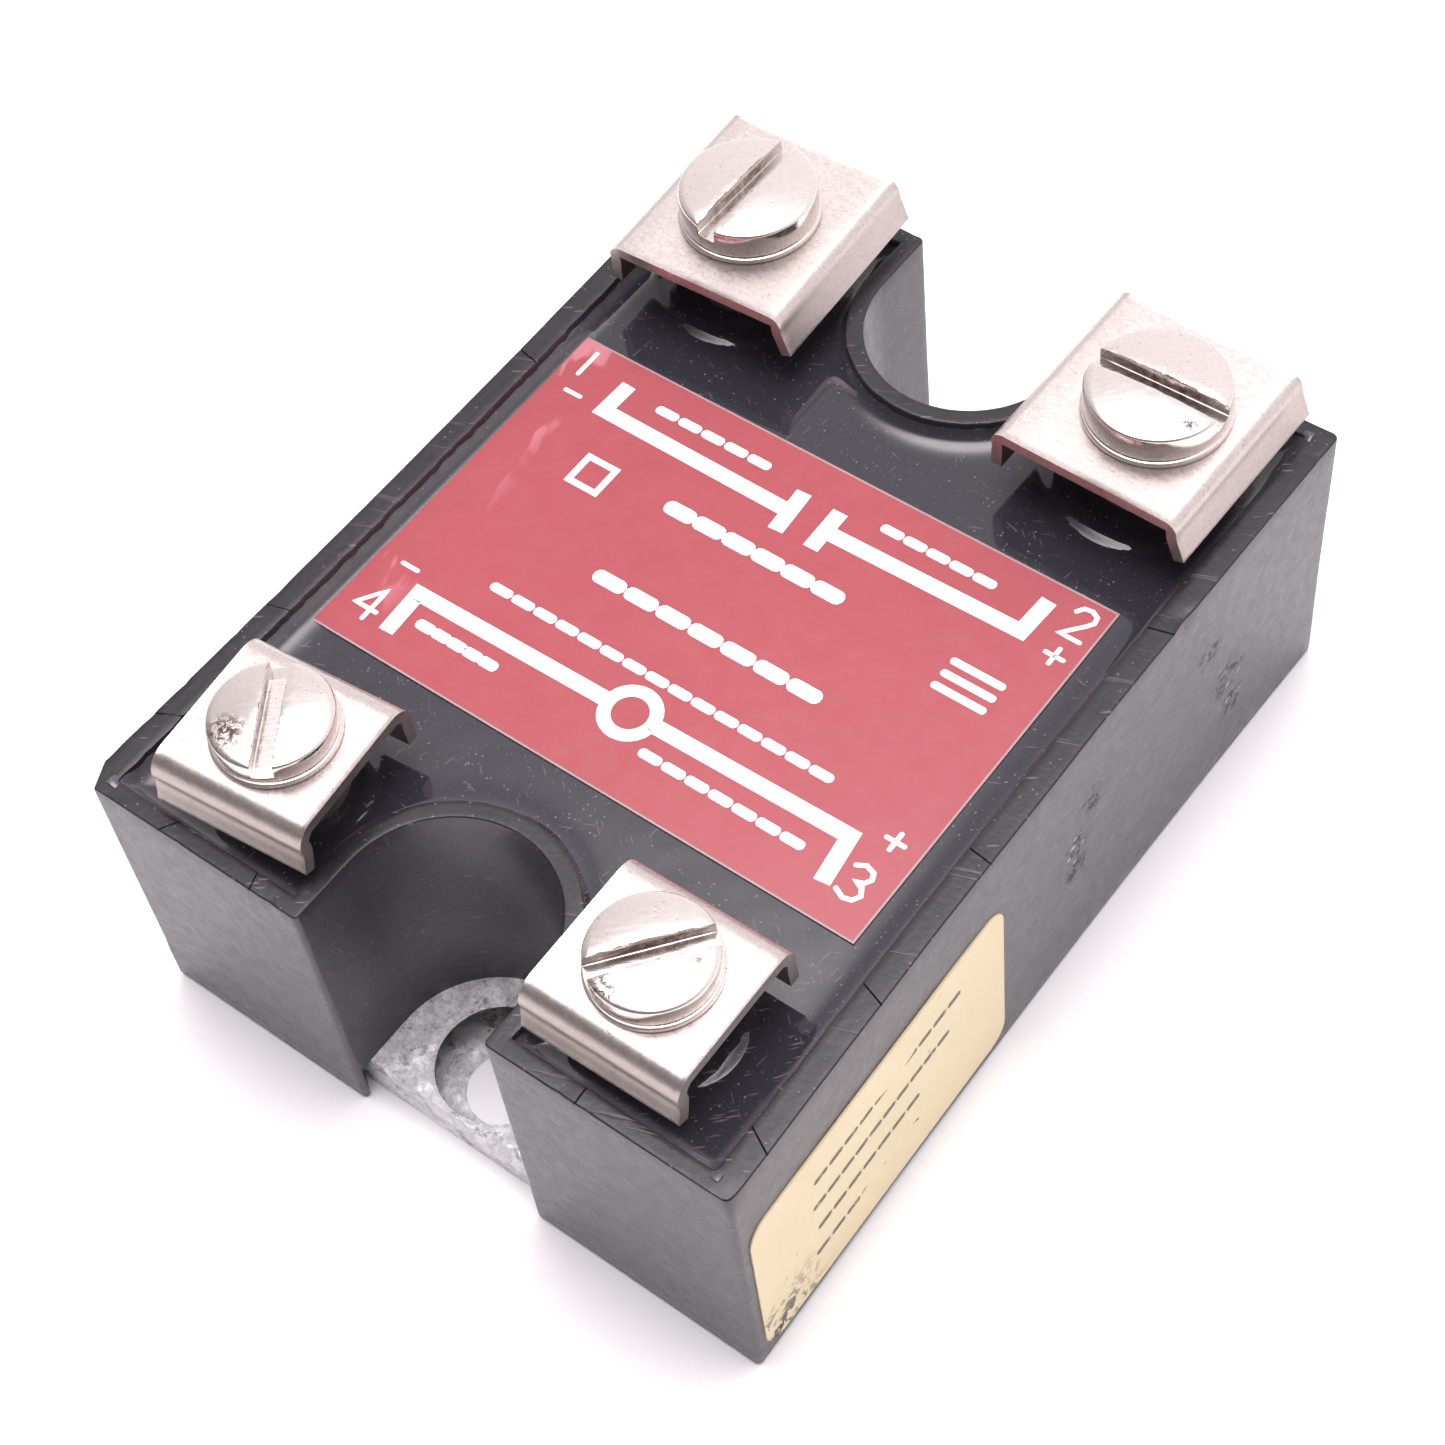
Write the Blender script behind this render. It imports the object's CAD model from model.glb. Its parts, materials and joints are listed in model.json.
"""Solid state relay: the looks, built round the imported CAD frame. Shapes are in millimetres until placed."""
import json
import math
import random

import bmesh
import bpy
from mathutils import Matrix, Vector, noise


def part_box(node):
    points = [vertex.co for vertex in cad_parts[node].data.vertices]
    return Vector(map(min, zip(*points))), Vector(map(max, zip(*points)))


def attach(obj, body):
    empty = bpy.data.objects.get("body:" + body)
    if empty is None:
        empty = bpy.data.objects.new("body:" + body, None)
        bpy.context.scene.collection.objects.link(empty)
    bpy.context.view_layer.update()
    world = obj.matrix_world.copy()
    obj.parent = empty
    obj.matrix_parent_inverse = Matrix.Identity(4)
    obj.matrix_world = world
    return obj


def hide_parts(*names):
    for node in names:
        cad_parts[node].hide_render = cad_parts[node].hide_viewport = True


MM = 0.001
UP = Vector((0, 0, 1))
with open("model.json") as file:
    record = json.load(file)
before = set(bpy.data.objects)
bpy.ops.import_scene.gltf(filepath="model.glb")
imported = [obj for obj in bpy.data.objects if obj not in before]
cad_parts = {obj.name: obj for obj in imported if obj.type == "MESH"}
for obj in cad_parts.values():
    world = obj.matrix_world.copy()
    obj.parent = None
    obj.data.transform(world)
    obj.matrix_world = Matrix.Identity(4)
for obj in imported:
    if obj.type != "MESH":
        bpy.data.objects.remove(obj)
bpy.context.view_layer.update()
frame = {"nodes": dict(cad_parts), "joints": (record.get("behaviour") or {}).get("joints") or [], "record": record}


def box_mm(node):
    """Lowest and highest corner of a CAD node, in millimetres."""
    low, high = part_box(node)
    return low / MM, high / MM


# ---- Sizes taken from the frame ----

HALF_W, HALF_L, RIM_Z = box_mm("housing")[1]
FILL_HALF_W, FILL_HALF_L, FILL_Z = box_mm("potting")[1]
PLATE_TOP = box_mm("base_plate")[1].z
TERMINALS = (1, 2, 3, 4)
SEAT = {}
for joint in frame["joints"]:
    if joint["name"].endswith("_swivel"):
        SEAT[int(joint["child"].split("_")[1])] = Vector(joint["pos_m"]) / MM

# ---- Sizes shared with the CAD source ----

CORNER_R = 0.4
INNER_R = 0.25
CHIP = (0.8, 1.7)
NOTCH_R = 6.4
NOTCH_Y = 24.6
NOTCH_WALL = 1.1
HOLE_R = 2.4
HOLE_Y = 23.8
SHEET = 0.7
CLAMP_TURN = {1: 2.5, 2: -1.2, 3: 0.6, 4: 5.0}
SLOT_TURN = {1: 89, 2: 1, 3: 51, 4: -57}
CLAMP_SHIFT = 0.45
SLOT_W = 1.25
SLOT_DEPTH = 1.05
DOME = 0.28
OUTPUT = {"span": 12.6, "along": 13.0, "drop": 2.7, "thread": 2.05, "head": 4.2, "head_h": 2.0, "shank": 9.5,
          "flare": 0.08, "dip": 0.04, "lean": 0.34, "bend": 0.8, "post": 4.0, "creep": 1.0}
INPUT = {"span": 9.9, "along": 10.2, "drop": 3.2, "thread": 1.75, "head": 3.55, "head_h": 1.55, "shank": 7.9,
         "flare": 0.24, "dip": 0.07, "lean": 0.0, "bend": 1.3, "post": 3.2, "creep": 0.62}
PITCH = 0.794
SEAT_GAP = 0.015


def size_of(n):
    """Sizes of a terminal: 1 and 2 are the larger output ones."""
    return OUTPUT if n < 3 else INPUT


# ---- Small mesh helpers ----


def wobble(x, y, z, scale, seed=0.0):
    """Smooth noise from -1 to 1."""
    return noise.noise(Vector((x * scale + seed, y * scale - seed, z * scale + 2 * seed)))


def smooth_step(low, high, value):
    """0 at low and 1 at high. High may be the smaller number."""
    t = min(1.0, max(0.0, (value - low) / (high - low)))
    return t * t * (3 - 2 * t)


def to_mesh(bm, name, sharp_deg):
    """Turns a bmesh in millimetres into a smooth-shaded mesh in metres, with hard edges kept."""
    bmesh.ops.recalc_face_normals(bm, faces=bm.faces)
    limit = math.radians(sharp_deg)
    for face in bm.faces:
        face.smooth = True
    for edge in bm.edges:
        if edge.is_manifold and edge.calc_face_angle(0) > limit:
            edge.smooth = False
    bm.transform(Matrix.Scale(MM, 4))
    mesh = bpy.data.meshes.new(name)
    bm.to_mesh(mesh)
    bm.free()
    return mesh


def put(name, data):
    """A new object in the scene."""
    obj = bpy.data.objects.new(name, data)
    bpy.context.scene.collection.objects.link(obj)
    return obj


def add_piece(name, bm, sharp_deg, material, body, nodes):
    """Puts a shape in the scene, on a body, in place of CAD nodes."""
    piece = put(name, to_mesh(bm, name, sharp_deg))
    piece.data.materials.append(material)
    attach(piece, body)
    if nodes:
        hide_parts(*nodes)
    return piece


def modified(bm, cutters=(), bevel=0.0, segments=3, angle=35):
    """A new bmesh after cutting it with other bmeshes and rounding its edges."""
    made = []
    for source in (bm, *cutters):
        mesh = bpy.data.meshes.new("work")
        source.to_mesh(mesh)
        source.free()
        made.append(put("work", mesh))
    for cutter in made[1:]:
        cut = made[0].modifiers.new("cut", "BOOLEAN")
        cut.operation = "DIFFERENCE"
        cut.solver = "EXACT"
        cut.object = cutter
    if bevel:
        edge = made[0].modifiers.new("edge", "BEVEL")
        edge.width = bevel
        edge.segments = segments
        edge.limit_method = "ANGLE"
        edge.angle_limit = math.radians(angle)
    graph = bpy.context.evaluated_depsgraph_get()
    result = bpy.data.meshes.new_from_object(made[0].evaluated_get(graph))
    out = bmesh.new()
    out.from_mesh(result)
    for obj in made:
        bpy.data.objects.remove(obj)
    return out


def skin(bm, a, b):
    """Faces between two closed rings of corners."""
    for i in range(len(a)):
        k = (i + 1) % len(a)
        bm.faces.new((a[i], a[k], b[k], b[i]))


def loft(rings):
    """Skins closed rings of equal length into a solid."""
    bm = bmesh.new()
    grid = [[bm.verts.new(p) for p in ring] for ring in rings]
    for a, b in zip(grid, grid[1:]):
        skin(bm, a, b)
    bm.faces.new(grid[0])
    bm.faces.new(list(reversed(grid[-1])))
    return bm


def round_turns(count):
    """Evenly spaced angles once round."""
    return [2 * math.pi * k / count for k in range(count)]


def rounded_outline(half_x, half_y, r, steps):
    """Points round a rectangle with round corners, anticlockwise."""
    out = []
    for sx, sy, start in ((1, 1, 0), (-1, 1, 90), (-1, -1, 180), (1, -1, 270)):
        for k in range(steps + 1):
            a = math.radians(start + 90 * k / steps)
            out.append((sx * (half_x - r) + r * math.cos(a), sy * (half_y - r) + r * math.sin(a)))
    return out


def lathe(profile, count, centre=(0, 0, 0)):
    """Turned solid from (radius, z) points. A radius of zero closes an end."""
    bm = bmesh.new()
    cx, cy, cz = centre
    rows = []
    for r, z in profile:
        turns = round_turns(count) if r else [0.0]
        rows.append([bm.verts.new((cx + r * math.cos(a), cy + r * math.sin(a), cz + z)) for a in turns])
    for a, b in zip(rows, rows[1:]):
        for i in range(count):
            k = (i + 1) % count
            corners = [a[i % len(a)], a[k % len(a)], b[k % len(b)], b[i % len(b)]]
            unique = list(dict.fromkeys(corners))
            if len(unique) > 2:
                bm.faces.new(unique)
    return bm


def block(low, high):
    """Box between two corners."""
    bm = bmesh.new()
    bmesh.ops.create_cube(bm, size=1)
    low, high = Vector(low), Vector(high)
    for v in bm.verts:
        v.co = Vector(a + (b - a) * (c + 0.5) for a, b, c in zip(low, high, v.co))
    return bm


# ---- Plan of the housing ----

BOW = 0.4
PLAN_STEP = 0.42


def bowed(x, y):
    """Moulding shrinkage: the long walls curve in a little between their ends."""
    share = min(1.0, abs(x) / HALF_W) ** 3 * max(0.0, 1 - (y / HALF_L) ** 2)
    return Vector((x - math.copysign(BOW * share, x), y))


def line_pairs(a, b, c, d, step, kind, cracks=()):
    """Points from a to b on the outer face and c to d on the inner, with close pairs at the cracks."""
    length = (Vector(b) - Vector(a)).length
    count = max(1, round(length / step))
    stops = [(i / count, 0) for i in range(count)]
    for crack in cracks:
        stops += [(crack - 0.06 / length, 0), (crack, 1), (crack + 0.06 / length, 0)]
    out = []
    for t, cracked in sorted(stops):
        out.append((Vector(a).lerp(b, t), Vector(c).lerp(d, t), kind, cracked))
    return out


def arc_pairs(centre, r, inner_centre, inner_r, start, end, count, kind):
    """Points of an arc on the outer face and of another on the inner, from start to end in degrees."""
    out = []
    for i in range(count):
        a = math.radians(start + (end - start) * i / count)
        way = Vector((math.cos(a), math.sin(a)))
        out.append((Vector(centre) + way * r, Vector(inner_centre) + way * inner_r, kind, 0))
    return out


def chipped(part):
    """Cuts the corner's outer points back to a slanting line, as on the worn front left corner."""
    across, along = CHIP
    way = Vector((along, across)).normalized()
    start = Vector((HALF_W, HALF_L - along))
    out = []
    for outer, inner, kind, cracked in part:
        over = (outer - start).dot(way)
        if outer.y > 0 and over > 0:
            outer = outer - way * over
        out.append((outer, inner, kind, cracked))
    return out


def end_half(cracks):
    """Right-hand half of one end, from the right wall's middle to the notch's floor."""
    x1, y1 = HALF_W, HALF_L
    x2, y2 = FILL_HALF_W, FILL_HALF_L
    nr = NOTCH_R + NOTCH_WALL
    c, i, lip, tight = CORNER_R, INNER_R, 0.35, 0.05
    part = line_pairs((x1, 0), (x1, y1 - c), (x2, 0), (x2, y2 - i), PLAN_STEP, "wall", cracks[0])
    part += arc_pairs((x1 - c, y1 - c), c, (x2 - i, y2 - i), i, 0, 90, 7, "wall")
    part += line_pairs((x1 - c, y1), (NOTCH_R + lip, y1), (x2 - i, y2), (nr + tight, y2), PLAN_STEP, "wall",
                       cracks[1])
    part += arc_pairs((NOTCH_R + lip, y1 - lip), lip, (nr + tight, y2 - tight), tight, 90, 180, 4, "wall")
    part += line_pairs((NOTCH_R, y1 - lip), (NOTCH_R, NOTCH_Y), (nr, y2 - tight), (nr, NOTCH_Y), PLAN_STEP,
                       "notch")
    part += arc_pairs((0, NOTCH_Y), NOTCH_R, (0, NOTCH_Y), nr, 0, -90, 26, "notch")
    return part


def mirrored(part, sx, sy):
    """The part flipped in x, y or both."""
    return [(Vector((o.x * sx, o.y * sy)), Vector((i.x * sx, i.y * sy)), k, c) for o, i, k, c in part]


def housing_plan():
    """Closed loop of (outer point, inner point, kind, cracked), anticlockwise from mid right wall."""
    back = end_half(((0.42,), (0.5,)))
    back_left = end_half(((0.3, 0.75), (0.3,)))
    front = end_half(((0.2, 0.55, 0.9), (0.62,)))
    front_left = chipped(end_half(((0.5, 0.82), (0.35, 0.8))))
    floor_b = [(Vector((0, NOTCH_Y - NOTCH_R)), Vector((0, NOTCH_Y - NOTCH_R - NOTCH_WALL)), "notch", 0)]
    middle = [(Vector((HALF_W, 0)), Vector((FILL_HALF_W, 0)), "wall", 0)]
    loop = back + floor_b
    loop += list(reversed(mirrored(back_left, -1, 1)[1:])) + mirrored(middle, -1, 1)
    loop += mirrored(front_left, -1, -1)[1:] + mirrored(floor_b, 1, -1)
    loop += list(reversed(mirrored(front, 1, -1)[1:]))
    return loop


# ---- Housing ----

EDGE_R = 0.12
INNER_EDGE_R = 0.08
FOOT_R = 0.3


def section_rows():
    """Rows round the wall's section, up, over and down: (share of thickness, extra inset, z)."""
    rows = [(0, FOOT_R, 0.0), (0, FOOT_R * 0.3, FOOT_R * 0.3), (0, 0, FOOT_R)]
    rows += [(0, 0, 1.2), (0, 0, 2.2), (0, 0, PLATE_TOP)]
    split = len(rows) - 1
    rows += [(0, 0, PLATE_TOP + 1.15 * i) for i in range(1, 15)]
    for a in (0, 25, 50, 75, 90):
        turn = math.radians(a)
        rows.append((0, EDGE_R * (1 - math.cos(turn)), RIM_Z - EDGE_R + EDGE_R * math.sin(turn)))
    rows += [(0.32, 0, RIM_Z), (0.5, 0, RIM_Z), (0.7, 0, RIM_Z)]
    for a in (0, 30, 60, 90):
        turn = math.radians(a)
        rows.append((1, -INNER_EDGE_R * (1 - math.sin(turn)), RIM_Z - INNER_EDGE_R * (1 - math.cos(turn))))
    rows += [(1, 0, z) for z in (RIM_Z - 0.5, RIM_Z - 0.9, FILL_Z - 0.6, 12.0, PLATE_TOP)]
    joined = len(rows) - 1
    rows.append((1, 0, 0.0))
    return rows, split, joined


def dents(count, seed):
    """Seeded knocks along the rim's outer edge: (x, y, radius, depth)."""
    chance = random.Random(seed)
    out = []
    for _ in range(count):
        side = chance.choice(("x", "x", "y"))
        sign = chance.choice((-1, 1))
        if side == "x":
            spot = (sign * HALF_W, chance.uniform(-HALF_L, HALF_L))
        else:
            spot = (chance.uniform(-HALF_W, HALF_W), sign * HALF_L)
        out.append((*spot, chance.uniform(0.15, 0.4), chance.uniform(0.02, 0.06)))
    return out


RIM_DENTS = dents(50, 11) + [(HALF_W - 0.1, -HALF_L + 0.1, 0.6, 0.16), (HALF_W, 13.2, 0.7, 0.14)]


def worn(point, outward, cracked):
    """Moves a housing point for waviness, rim flash, knocks and cracks."""
    x, y, z = point
    out = Vector(outward).to_3d()
    shift = 0.03 * wobble(x, y, z, 0.16, 3.1) + 0.006 * wobble(x, y, z, 0.9, 7.7)
    moved = point - out * (0.04 + shift)
    near_top = smooth_step(RIM_Z - 1.2, RIM_Z - 0.1, z)
    moved.z += near_top * (0.03 * wobble(x, y, 0, 0.35, 1.3) - 0.03)
    for dx, dy, radius, depth in RIM_DENTS:
        gap = math.hypot(x - dx, y - dy)
        if gap < radius * 1.6 and z > RIM_Z - 2.4 * radius:
            push = depth * math.exp(-(gap / radius) ** 2) * near_top
            moved -= out * push + UP * push
    if cracked:
        moved.z -= 0.1 * near_top
    return moved


def build_housing(material, rim_material):
    """Shell with notched ends, and the rim's top faces in a material of their own."""
    plan = housing_plan()
    rows, split, joined = section_rows()
    bm = bmesh.new()
    grid = []
    for outer, inner, _kind, cracked in plan:
        o, i = bowed(*outer), bowed(*inner)
        thick = (o - i).length
        outward = (o - i) / thick
        column = []
        for share, inset, z in rows:
            flash = 0.0
            if share == 1 and z > FILL_Z:
                flash = 0.07 * wobble(o.x, o.y, 0, 1.3, 5.0) + 0.05 * wobble(o.x, o.y, 0, 4.0, 2.0)
            place = o - outward * (share * thick + inset - flash)
            point = Vector((place.x, place.y, z))
            if z > PLATE_TOP + 0.5 and not (share == 1 and z < FILL_Z):
                point = worn(point, outward, cracked)
            column.append(bm.verts.new(point))
        grid.append(column)
    total, last = len(plan), len(rows) - 1
    for c in range(total):
        a, b = grid[c], grid[(c + 1) % total]
        wall = plan[c][2] == "wall"
        first, end = (0, last) if wall else (split, joined)
        for r in range(first, end):
            bm.faces.new((a[r], b[r], b[r + 1], a[r + 1]))
        bm.faces.new((a[end], b[end], b[first], a[first]))
        before = plan[c - 1][2] == "wall"
        if wall != before:
            bm.faces.new([a[r] for r in range(0, split + 1)] + [a[joined], a[last]])
    shell = add_piece("housing_shell", bm, 50, material, "root", ("housing",))
    shell.data.materials.append(rim_material)
    for face in shell.data.polygons:
        if face.center.z > (RIM_Z - 0.3) * MM and face.normal.z > 0.3:
            face.material_index = 1


# ---- Epoxy fill ----

FILL_STEP = 0.22
WALL_RISE = 0.8
WALL_REACH = 0.42
CORNER_RISE = 0.5
CORNER_REACH = 1.2
MENISCUS_REACH = 2.5
MENISCUS_STEP = 0.05


def gap_to_wall(x, y):
    """Distance from the fill's edge, positive inside."""
    side = FILL_HALF_W - abs(x)
    end = FILL_HALF_L - abs(y)
    dy = abs(y) - NOTCH_Y
    notch = math.hypot(x, dy) if dy < 0 else abs(x)
    return min(side, end, notch - NOTCH_R - NOTCH_WALL)


def meniscus(gap):
    """Height of the epoxy that creeps up a post: two low steps, then a lip against the metal."""
    height = 0.0
    at = MENISCUS_REACH
    while at > max(0.0, gap):
        slope = 0.44 * smooth_step(2.5, 2.25, at) * smooth_step(1.5, 1.7, at)
        slope += 0.5 * smooth_step(1.4, 1.3, at) * smooth_step(1.0, 1.1, at)
        slope += 0.9 * smooth_step(0.3, 0.05, at)
        height += slope * MENISCUS_STEP
        at -= MENISCUS_STEP
    return height


MENISCUS = [meniscus(k * MENISCUS_STEP) for k in range(52)]


def fill_height(x, y):
    """Height of the cured epoxy: nearly level, creeping up the walls and the posts."""
    z = FILL_Z - 0.03 + 0.03 * wobble(x, y, 0, 0.12, 9.0) + 0.006 * wobble(x, y, 0, 0.6, 4.0)
    z += WALL_RISE * math.exp(-max(0.0, gap_to_wall(x, y)) / WALL_REACH)
    corner = math.hypot(max(0.0, FILL_HALF_W - abs(x)), max(0.0, FILL_HALF_L - abs(y)))
    z += CORNER_RISE * math.exp(-corner / CORNER_REACH)
    for n in TERMINALS:
        gap = math.hypot(x - SEAT[n].x, y - SEAT[n].y) - size_of(n)["post"]
        scale = size_of(n)["creep"] * (1 + 0.05 * wobble(x, y, n, 0.3, 6.0))
        place = max(0.0, gap) / scale / MENISCUS_STEP
        if place < len(MENISCUS) - 2:
            low = int(place)
            z += scale * (MENISCUS[low] + (MENISCUS[low + 1] - MENISCUS[low]) * (place - low))
    return z


def build_fill(material):
    """Height field that runs a little into the walls, over a straight skirt."""
    grow = 0.4
    nx = math.ceil((FILL_HALF_W + grow) / FILL_STEP)
    ny = math.ceil((FILL_HALF_L + grow) / FILL_STEP)
    bm = bmesh.new()
    points = {}

    def corner(i, j):
        if (i, j) not in points:
            x = max(-FILL_HALF_W - grow, min(FILL_HALF_W + grow, i * FILL_STEP))
            y = max(-FILL_HALF_L - grow, min(FILL_HALF_L + grow, j * FILL_STEP))
            place = bowed(x, y)
            points[i, j] = bm.verts.new((place.x, place.y, fill_height(x, y)))
        return points[i, j]

    for i in range(-nx, nx):
        for j in range(-ny, ny):
            middle = ((i + 0.5) * FILL_STEP, (j + 0.5) * FILL_STEP)
            if gap_to_wall(*middle) > -grow:
                bm.faces.new((corner(i, j), corner(i + 1, j), corner(i + 1, j + 1), corner(i, j + 1)))
    rim = [e for e in bm.edges if e.is_boundary]
    skirt = bmesh.ops.extrude_edge_only(bm, edges=rim)["geom"]
    for v in skirt:
        if isinstance(v, bmesh.types.BMVert):
            v.co.z = PLATE_TOP + 0.05
    bmesh.ops.holes_fill(bm, edges=[e for e in bm.edges if e.is_boundary], sides=0)
    add_piece("epoxy_fill", bm, 60, material, "root", ("potting",))


# ---- Base plate ----

SINK_DEPTH = 0.2
COUNTERSINK = ((0.0, 0.0), (0.12, 0.1), (0.24, 0.05), (0.4, 0.13), (0.55, 0.07), (0.75, 0.16), (0.9, 0.1),
               (1.1, 0.19), (1.25, 0.13), (1.5, 0.26))


def build_base_plate(material):
    """Plate with two mounting holes. COUNTERSINK gives (out, up) from the bore's upper edge.

    Known fault: the loft's end faces point inwards, so the cut leaves the holes' walls out.
    """
    low, high = box_mm("base_plate")
    outline = rounded_outline(high.x, high.y, INNER_R, 6)
    bm = loft([[(x, y, z) for x, y in outline] for z in (low.z, high.z)])
    bore = [(0, -1.0), (HOLE_R, -1.0)]
    bore += [(HOLE_R + out, high.z - SINK_DEPTH + up) for out, up in COUNTERSINK]
    bore += [(4.0, high.z + 1), (0, high.z + 1)]
    holes = [lathe(bore, 72, (0, side * HOLE_Y, 0)) for side in (-1, 1)]
    plate = modified(bm, holes, 0.06, 2)
    for v in plate.verts:
        v.co.z = min(high.z, max(low.z, v.co.z))
    add_piece("mounting_plate", plate, 12, material, "root", ("base_plate",))


# ---- Terminals ----

PLAIN_FLARE = 0.02


def clamp_half(size, flare):
    """Outer line of a clamp's right half, as (across, z) from its middle to its foot, with a soft groove."""
    s, drop, r = size["span"] / 2, size["drop"], size["bend"]
    lean = size["lean"] if flare > PLAIN_FLARE else 0.0
    line = [(s * k / 9, 0.0) for k in range(7)]
    for k in range(9):
        turn = math.radians(90 * k / 8)
        line.append((s - lean - r + r * math.sin(turn), r * math.cos(turn) - r))
    for k in range(1, 11):
        t = k / 10
        groove = size["dip"] * math.exp(-((t - 0.22) / 0.2) ** 2)
        line.append((s - lean - groove + 1.5 * lean * t + flare * t ** 3, -r - (drop - r - 0.01) * t))
    return line


def offset_line(line, distance):
    """The line moved sideways by distance, to its right-hand side."""
    out = []
    for i, point in enumerate(line):
        a = Vector(line[max(0, i - 1)])
        b = Vector(line[min(len(line) - 1, i + 1)])
        way = (b - a).normalized()
        out.append(Vector(point) + Vector((way.y, -way.x)) * distance)
    return out


def clamp_section(size, flared_left):
    """Closed line round the folded sheet, with one plain foot and one flared."""
    feet = [clamp_half(size, PLAIN_FLARE), clamp_half(size, size["flare"])]
    left, right = reversed(feet) if flared_left else feet
    outer = [(-x, z) for x, z in reversed(left[1:])] + right
    inner = [tuple(p) for p in offset_line(outer, SHEET)]
    for i, (x, z) in enumerate(inner):
        if abs(x) < size["span"] / 2 - 1.0:
            inner[i] = (x, -SHEET)
    return outer + list(reversed(inner))


def build_clamp(n, material):
    """Folded sheet. The input pair is turned a quarter, and the output pair sits off its screw."""
    size = size_of(n)
    is_input = n > 2
    section = clamp_section(size, is_input)
    half = size["along"] / 2
    steps = 26
    rings = []
    for k in range(steps + 1):
        t = -half + size["along"] * k / steps
        ring = []
        for x, z in section:
            sag = 0.02 * wobble(x, t, z, 0.15, n) - 0.02
            end = 0.008 * wobble(x, z, n, 0.35, 3.0) if k in (0, steps) else 0.0
            inset = 0.06 * math.copysign(1, t) if k in (0, steps) else 0.0
            ring.append(Vector((x, t - inset + end, min(0.0, z + sag))))
        rings.append(ring)
    shift = 0 if is_input else math.copysign(CLAMP_SHIFT, SEAT[n].x)
    bore = size["thread"] + 0.35
    hole = lathe([(0, -3), (bore, -3), (bore, 2), (0, 2)], 48, (shift, 0, 0))
    bm = modified(loft(rings), [hole], 0.06, 2, 50)
    fold = Matrix.Rotation(math.radians(90 if is_input else 0), 4, "Z")
    turn = Matrix.Rotation(math.radians(CLAMP_TURN[n]), 4, "Z")
    bm.transform(Matrix.Translation(SEAT[n]) @ turn @ Matrix.Translation((-shift, 0, 0)) @ fold)
    add_piece(f"clamp_{n}_sheet", bm, 40, material, f"clamp_{n}", (f"clamp_plate_{n}",))


def build_washer(n, material):
    """Plain ring with a worn upper edge."""
    low, high = box_mm(f"washer_{n}")
    r, h = (high.x - low.x) / 2, high.z - low.z - SEAT_GAP
    bore = size_of(n)["thread"] + 0.15
    e = 0.09
    line = [(bore, 0.0), (bore, h), (r - e * 2, h), (r - e * 0.6, h - e * 0.35), (r, h - e), (r, e),
            (r - e, 0.0), (bore, 0.0)]
    bm = lathe(line, 112, SEAT[n])
    bmesh.ops.remove_doubles(bm, verts=bm.verts, dist=0.001)
    add_piece(f"washer_{n}_ring", bm, 40, material, f"washer_{n}", (f"washer_{n}",))


def head_profile(size):
    """Half outline of a screw head with a low dome, from the underside's middle to the top's."""
    r, h = size["head"], size["head_h"]
    line = [(0, 0.0), (r - 0.12, 0.0), (r - 0.02, 0.1), (r - 0.01, 0.3), (r - 0.03, h - DOME - 0.16)]
    line += [(r - 0.06, h - DOME - 0.06), (r - 0.14, h - DOME + 0.02)]
    for k in range(1, 12):
        q = (r - 0.16) * (1 - k / 12)
        line.append((q, h - DOME * (q / r) ** 2))
    line.append((0, h))
    return line


def shank(size):
    """Threaded shank below z = 0, inside the CAD's plain cylinder."""
    r, length = size["thread"], size["shank"]
    depth, around, per_pitch, overlap = 0.42, 40, 8, 0.3
    rows = int(length / PITCH * per_pitch)
    rings = []
    for k in range(rows + 1):
        z = overlap - (length + overlap) * k / rows
        tip = smooth_step(length - 0.9, length, -z) * 0.5
        ring = []
        for i, a in enumerate(round_turns(around)):
            phase = (z / PITCH - i / around) % 1.0
            crest = max(0.0, 1 - abs(phase - 0.5) * 2.4)
            q = r - 0.03 - depth * (1 - min(1.0, crest * 1.5)) - tip
            ring.append((q * math.cos(a), q * math.sin(a), z))
        rings.append(ring)
    return loft(rings)


def chew(bm, size, n):
    """Burrs thrown up along the slot by screwdrivers."""
    h = size["head_h"]
    turn = Matrix.Rotation(-math.radians(SLOT_TURN[n]), 3, "Z")
    for v in bm.verts:
        p = turn @ v.co
        edge = abs(abs(p.y) - SLOT_W / 2)
        if v.co.z < h - 0.75 or edge > 0.6:
            continue
        lift = math.exp(-(edge / 0.16) ** 2)
        rough = wobble(p.x, p.y, n, 1.7, n * 3.3) + 0.6 * wobble(p.x, p.y, n, 4.5, n * 1.7)
        v.co.z += lift * (0.03 * rough - 0.02)
        side = math.copysign(1, p.y)
        v.co += (turn.inverted() @ Vector((0, side, 0))) * lift * 0.06 * rough
    for v in bm.verts:
        v.co.z = min(h - 0.012, v.co.z)


def build_screw(n, material):
    """Slotted head with its threaded shank."""
    size = size_of(n)
    h = size["head_h"]
    reach = size["head"] + 1
    head = lathe(head_profile(size), 112)
    slot = block((-reach, -SLOT_W / 2, h - SLOT_DEPTH), (reach, SLOT_W / 2, h + 1))
    slot.transform(Matrix.Rotation(math.radians(SLOT_TURN[n]), 4, "Z"))
    bmesh.ops.subdivide_edges(slot, edges=slot.edges, cuts=9, use_grid_fill=True)
    head = modified(head, [slot], 0.07, 3, 40)
    chew(head, size, n)
    mesh = bpy.data.meshes.new("work")
    thread = shank(size)
    thread.to_mesh(mesh)
    thread.free()
    head.from_mesh(mesh)
    head.transform(Matrix.Translation(SEAT[n] + UP * (box_mm(f"washer_{n}")[1].z - SEAT[n].z)))
    add_piece(f"screw_{n}_metal", head, 40, material, f"screw_{n}", (f"screw_{n}",))


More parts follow.
